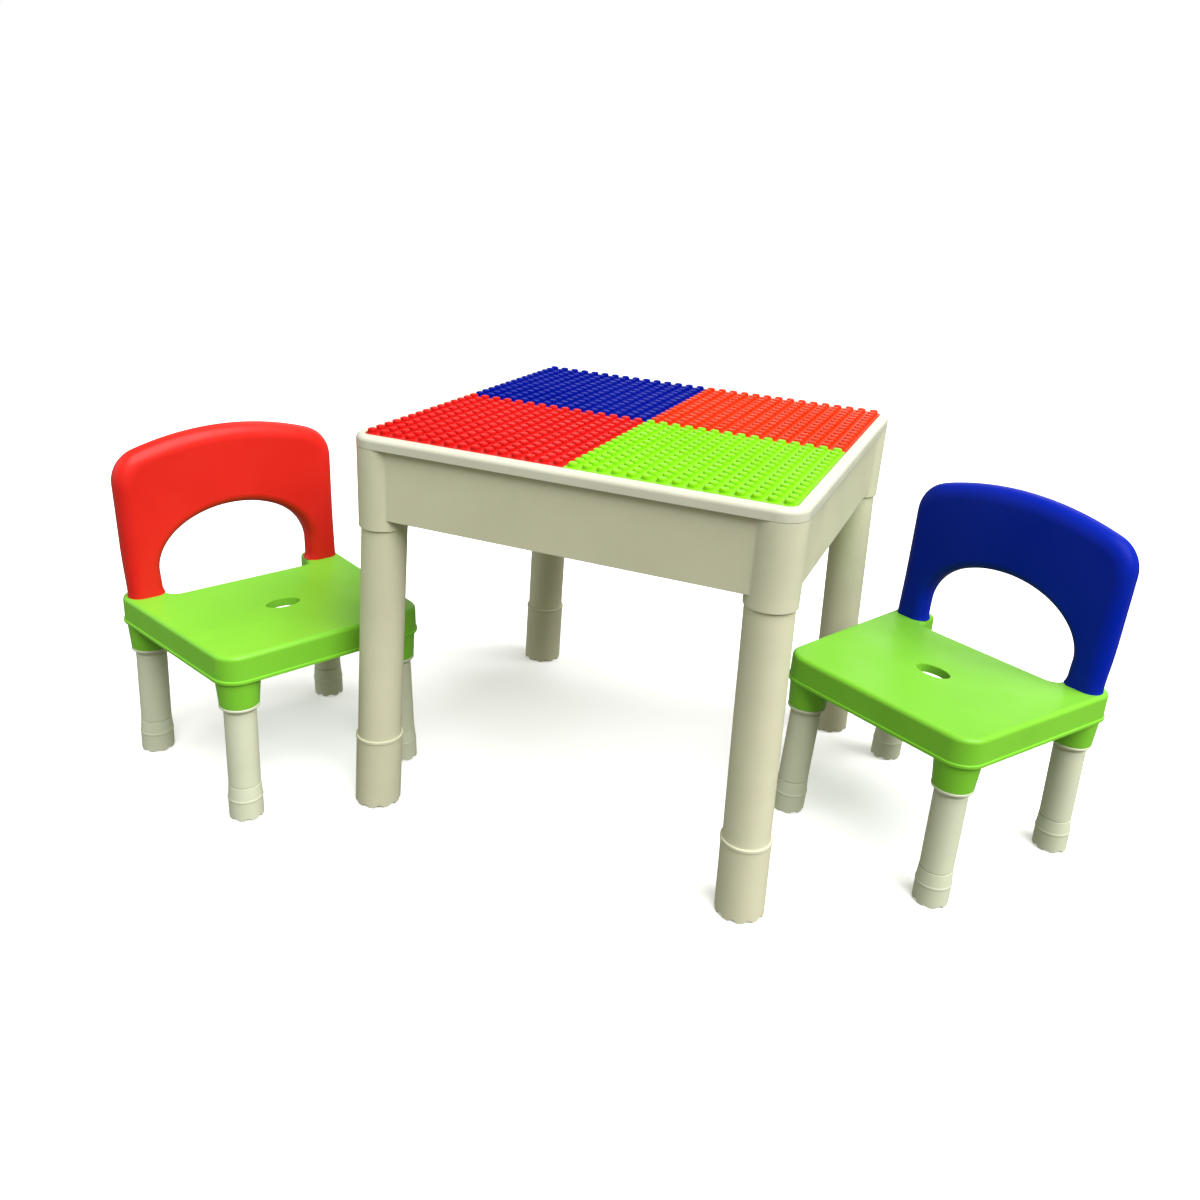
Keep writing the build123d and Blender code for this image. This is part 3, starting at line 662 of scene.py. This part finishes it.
def back_section(inner, outer, station):
    """One section across the backrest: round at the base, and a C open to the rear further up."""
    a, b = Vector(inner), Vector(outer)
    middle, along = (a + b) / 2, (b - a).normalized()
    wide = (b - a).length / 2
    height = middle.y / BACK_HEIGHT
    deep = (BACK_BASE_THICKNESS + (BACK_TOP_THICKNESS - BACK_BASE_THICKNESS) * height) / 2
    outer_edge, inner_edge, rear_edge, wall = (20.0, 15.0), (12.0, 13.0), 7.0, 5.0
    share = smooth_step(0.0, 60.0, station)
    front_round, rear_round = deep - 0.6, deep - 1.0
    outer_soft = [front_round + share * (size - front_round) for size in outer_edge]
    inner_soft = [front_round + share * (size - front_round) for size in inner_edge]
    rear = rear_round + share * (rear_edge - rear_round)
    hollow = smooth_step(14.0, 44.0, station)
    floor = -deep + hollow * (deep + 1.0)
    path = arc((wide - rear, -deep + rear), rear, -90, 0, 6)
    for side, (across, thick), first in ((1, outer_soft, 0), (-1, inner_soft, 90)):
        for c, d in arc((0, 0), 1.0, first, first + 90, 10):
            path.append((side * (wide - across) + c * across, deep - thick + d * thick))
    path += arc((-wide + rear, -deep + rear), rear, 180, 270, 6)
    edge = min(wide - wall, wide - rear - 0.2)
    path += [(-edge, -deep), (-edge + 0.8, floor), (edge - 0.8, floor), (edge, -deep)]
    flat = max(0.0, 1 - station / 30.0) * math.tan(BACK_RECLINE)
    loop = []
    for p, q in path:
        spot = middle + along * p
        x, v = spot.x, spot.y - q * flat
        y = BACK_Y + v * math.sin(BACK_RECLINE) - q * math.cos(BACK_RECLINE)
        z = SEAT_TOP + 0.05 + v * math.cos(BACK_RECLINE) + q * math.sin(BACK_RECLINE)
        loop.append((x, y, z))
    return loop


def chair_back(colour, place, material):
    """Arched backrest swept from one upright to the other, with ribs in its hollow rear."""
    stations = back_stations()
    travel = [0.0]
    for (a, b), (c, d) in zip(stations, stations[1:]):
        travel.append(travel[-1] + ((Vector(c) + Vector(d)) / 2 - (Vector(a) + Vector(b)) / 2).length)
    right = [back_section(a, b, s) for (a, b), s in zip(stations, travel)]
    bm = bmesh.new()
    left = [[(-x, y, z) for x, y, z in loop] for loop in reversed(right[:-1])]
    loft(bm, right + left)
    outline = back_outline()
    for x in BACK_RIBS:
        low = ARCH_SPRING + ARCH_RISE * math.sqrt(1 - (x / ARCH_HALF_WIDTH) ** 2) + 3
        high = next(p[1] for p in reversed(outline) if p[0] >= abs(x)) - 4
        back_rib(bm, (x - 1, x + 1), (max(low, 62.0), high))
    lean, plug_end = (0, math.tan(BACK_RECLINE)), SEAT_TOP - BACK_PLUG_LENGTH
    radius = BACK_PLUG_RADIUS
    plug = [(radius - 0.5, plug_end), (radius, plug_end + 0.6), (radius, SEAT_TOP + 9)]
    for side in (-1, 1):
        foot = (side * (BACK_BASE_HALF + ARCH_BASE_HALF) / 2, BACK_Y - SEAT_TOP * lean[1])
        lathe(bm, plug, foot, lean, 48)
    body = f"{colour}_chair"
    piece(f"{body}_back_shell", bm, place, body, material, f"{colour}_backrest", f"{body}_backrest")


def back_rib(bm, x_range, v_range):
    """A thin rib inside the hollow rear of the backrest."""
    before = set(bm.verts)
    bevelled_box(bm, x_range, v_range, (-7.0, 1.5), 0.3)
    for vert in set(bm.verts) - before:
        x, v, q = vert.co
        vert.co = (x, BACK_Y + v * math.sin(BACK_RECLINE) - q * math.cos(BACK_RECLINE),
                   SEAT_TOP + v * math.cos(BACK_RECLINE) + q * math.sin(BACK_RECLINE))


# ---------------------------------------------------------------- camera, light and floor

def camera():
    """To the right of the table's front, turned left, looking down and tilted a little."""
    yaw, pitch, roll = math.radians(-21.737), math.radians(22.591), math.radians(-3.516)
    forward = Vector((math.sin(yaw) * math.cos(pitch), math.cos(yaw) * math.cos(pitch), -math.sin(pitch)))
    level_right = Vector((math.cos(yaw), -math.sin(yaw), 0))
    down = forward.cross(level_right)
    right = math.cos(roll) * level_right + math.sin(roll) * down
    down = -math.sin(roll) * level_right + math.cos(roll) * down
    data = bpy.data.cameras.new("camera")
    data.sensor_width = 36.0
    data.lens = 31.8
    data.clip_start = 0.05
    eye = bpy.data.objects.new("camera", data)
    bpy.context.collection.objects.link(eye)
    turned = Matrix((right, -down, -forward)).transposed().to_4x4()
    from_table = Vector((0.42753, -1.18784, 0.75563))
    eye.matrix_world = Matrix.Translation(TABLE.to_translation() + from_table) @ turned
    bpy.context.scene.camera = eye


def sun(name, toward, strength, softness, colour=(1, 1, 1)):
    """A far, soft lamp that shines from the given direction."""
    data = bpy.data.lights.new(name, "SUN")
    data.energy = strength
    data.angle = math.radians(softness)
    data.color = colour
    lamp = bpy.data.objects.new(name, data)
    bpy.context.collection.objects.link(lamp)
    lamp.rotation_euler = Vector(toward).to_track_quat("Z", "Y").to_euler()


def surround():
    """White where it is seen behind the set, and a dim, warm, even fill light on it."""
    world = bpy.data.worlds.new("soft white surround")
    bpy.context.scene.world = world
    world.use_nodes = True
    nodes, links = world.node_tree.nodes, world.node_tree.links
    seen_or_fill = nodes.new("ShaderNodeMix")
    seen_or_fill.data_type = "RGBA"
    seen_or_fill.inputs[6].default_value = (0.26, 0.257, 0.195, 1)
    seen_or_fill.inputs[7].default_value = (1, 1, 1, 1)
    links.new(nodes.new("ShaderNodeLightPath").outputs["Is Camera Ray"], seen_or_fill.inputs["Factor"])
    links.new(seen_or_fill.outputs[2], nodes["Background"].inputs["Color"])


def studio():
    """Pale paper floor with a faint glow that keeps shadows light. It is seen, but doesn't light the set."""
    bm = bmesh.new()
    bmesh.ops.create_grid(bm, x_segments=1, y_segments=1, size=60)
    mesh = bpy.data.meshes.new("studio_floor")
    bm.to_mesh(mesh)
    bm.free()
    floor = bpy.data.objects.new("studio_floor", mesh)
    bpy.context.collection.objects.link(floor)
    floor.location.z = -0.0006
    floor.visible_diffuse = False
    floor.visible_glossy = False
    paper = bpy.data.materials.new("pale studio paper")
    paper.use_nodes = True
    shader = paper.node_tree.nodes["Principled BSDF"]
    shader.inputs["Base Color"].default_value = (0.9, 0.9, 0.9, 1)
    shader.inputs["Emission Color"].default_value = (1, 1, 1, 1)
    shader.inputs["Emission Strength"].default_value = 0.3
    shader.inputs["Roughness"].default_value = 0.9
    shader.inputs["Specular IOR Level"].default_value = 0.1
    mesh.materials.append(paper)
    surround()
    sun("key from the upper right", (0.62, -0.27, 1.0), 5.6, 60)
    sun("cool fill from the left", (-0.85, -0.42, 0.35), 0.9, 60, (0.87, 0.96, 1.0))
    sun("low light from behind", (-0.05, 0.9, 0.5), 0.7, 60)
    bpy.context.scene.view_settings.view_transform = "Standard"


TABLE = table_place()
top_rim()
table_body()
cross_divider()
for corner_name in CORNERS:
    table_leg(corner_name)
for panel_colour in PANEL_CORNERS:
    stud_panel(panel_colour)
for chair_colour, back_material in (("red", RED_BACK), ("blue", BLUE_BACK)):
    chair = chair_place(chair_colour)
    chair_seat(chair_colour, chair)
    chair_back(chair_colour, chair, back_material)
    for corner_name in CORNERS:
        chair_leg(chair_colour, chair, corner_name)
camera()
studio()
